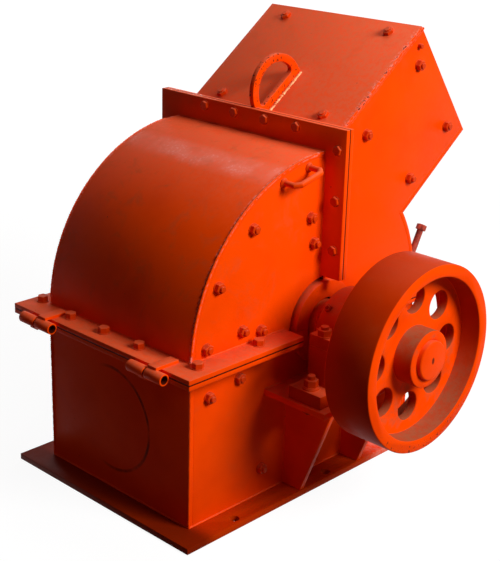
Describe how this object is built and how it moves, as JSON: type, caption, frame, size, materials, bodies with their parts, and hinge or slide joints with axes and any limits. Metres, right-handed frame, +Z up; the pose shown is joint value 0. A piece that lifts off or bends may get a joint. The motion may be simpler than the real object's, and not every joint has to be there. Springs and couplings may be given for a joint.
{
  "type": "hammer crusher",
  "caption": "Hinged-cover hammer crusher with a sloping feed chute, plummer-block bearings, a flywheel with round holes in its web, inner hammers and a bar grate.",
  "frame": {"origin": "on the floor at the centre of the foundation bolt pattern, under the rotor axis and midway between the two sides", "axes": "+X along the rotor towards the flywheel, -Y towards the hinged front cover, +Z up"},
  "size_m": [0.942, 0.8645, 0.88],
  "materials": {
    "red_enamel": "semi-gloss",
    "bare_steel": "worn",
    "painted_casting": "painted, rough"
  },
  "bodies": {
    "frame": {"base_flange": "red_enamel", "lower_front_wall": "red_enamel", "lower_rear_wall": "red_enamel", "left_lower_side": "red_enamel", "right_lower_side": "red_enamel", "lower_joint_flange": "red_enamel", "bracket_plates": "red_enamel", "bracket_gussets": "red_enamel", "left_bearing_base": "painted_casting", "right_bearing_base": "painted_casting", "left_bearing_cap": "painted_casting", "right_bearing_cap": "painted_casting", "seal_lower_halves": "red_enamel", "seal_upper_halves": "red_enamel", "chute_top_plate": "red_enamel", "chute_bottom_plate": "red_enamel", "rear_wall": "red_enamel", "left_chute_side": "red_enamel", "right_chute_side": "red_enamel", "rear_standing_flange": "red_enamel", "rear_joint_flange": "red_enamel", "lifting_lug": "red_enamel", "hinge_lower_leaves": "red_enamel", "hinge_pins": "bare_steel", "grate_rails": "bare_steel", "grate_bars": "bare_steel", "lower_wear_plates": "bare_steel", "rear_wear_plates": "bare_steel", "rear_breaker": "bare_steel"},
    "cover": {"cover_curved_plate": "red_enamel", "left_cover_side": "red_enamel", "right_cover_side": "red_enamel", "cover_standing_flange": "red_enamel", "cover_joint_flange": "red_enamel", "hinge_upper_leaves": "red_enamel", "cover_handle": "red_enamel", "cover_wear_plates": "bare_steel", "cover_breaker": "bare_steel"},
    "rotor": {"shaft": "bare_steel", "rotor_discs": "bare_steel", "hammer_pins": "bare_steel", "hammers": "bare_steel", "flywheel": "painted_casting"}
  },
  "joints": [
    {"name": "cover_hinge", "type": "hinge", "parent": "frame", "child": "cover", "pos_m": [0, -0.414, 0.334], "axis": [1, 0, 0], "range_deg": [0, 105]},
    {"name": "rotor_spin", "type": "hinge", "parent": "frame", "child": "rotor", "pos_m": [0, 0, 0.334], "axis": [1, 0, 0], "continuous": true}
  ]
}
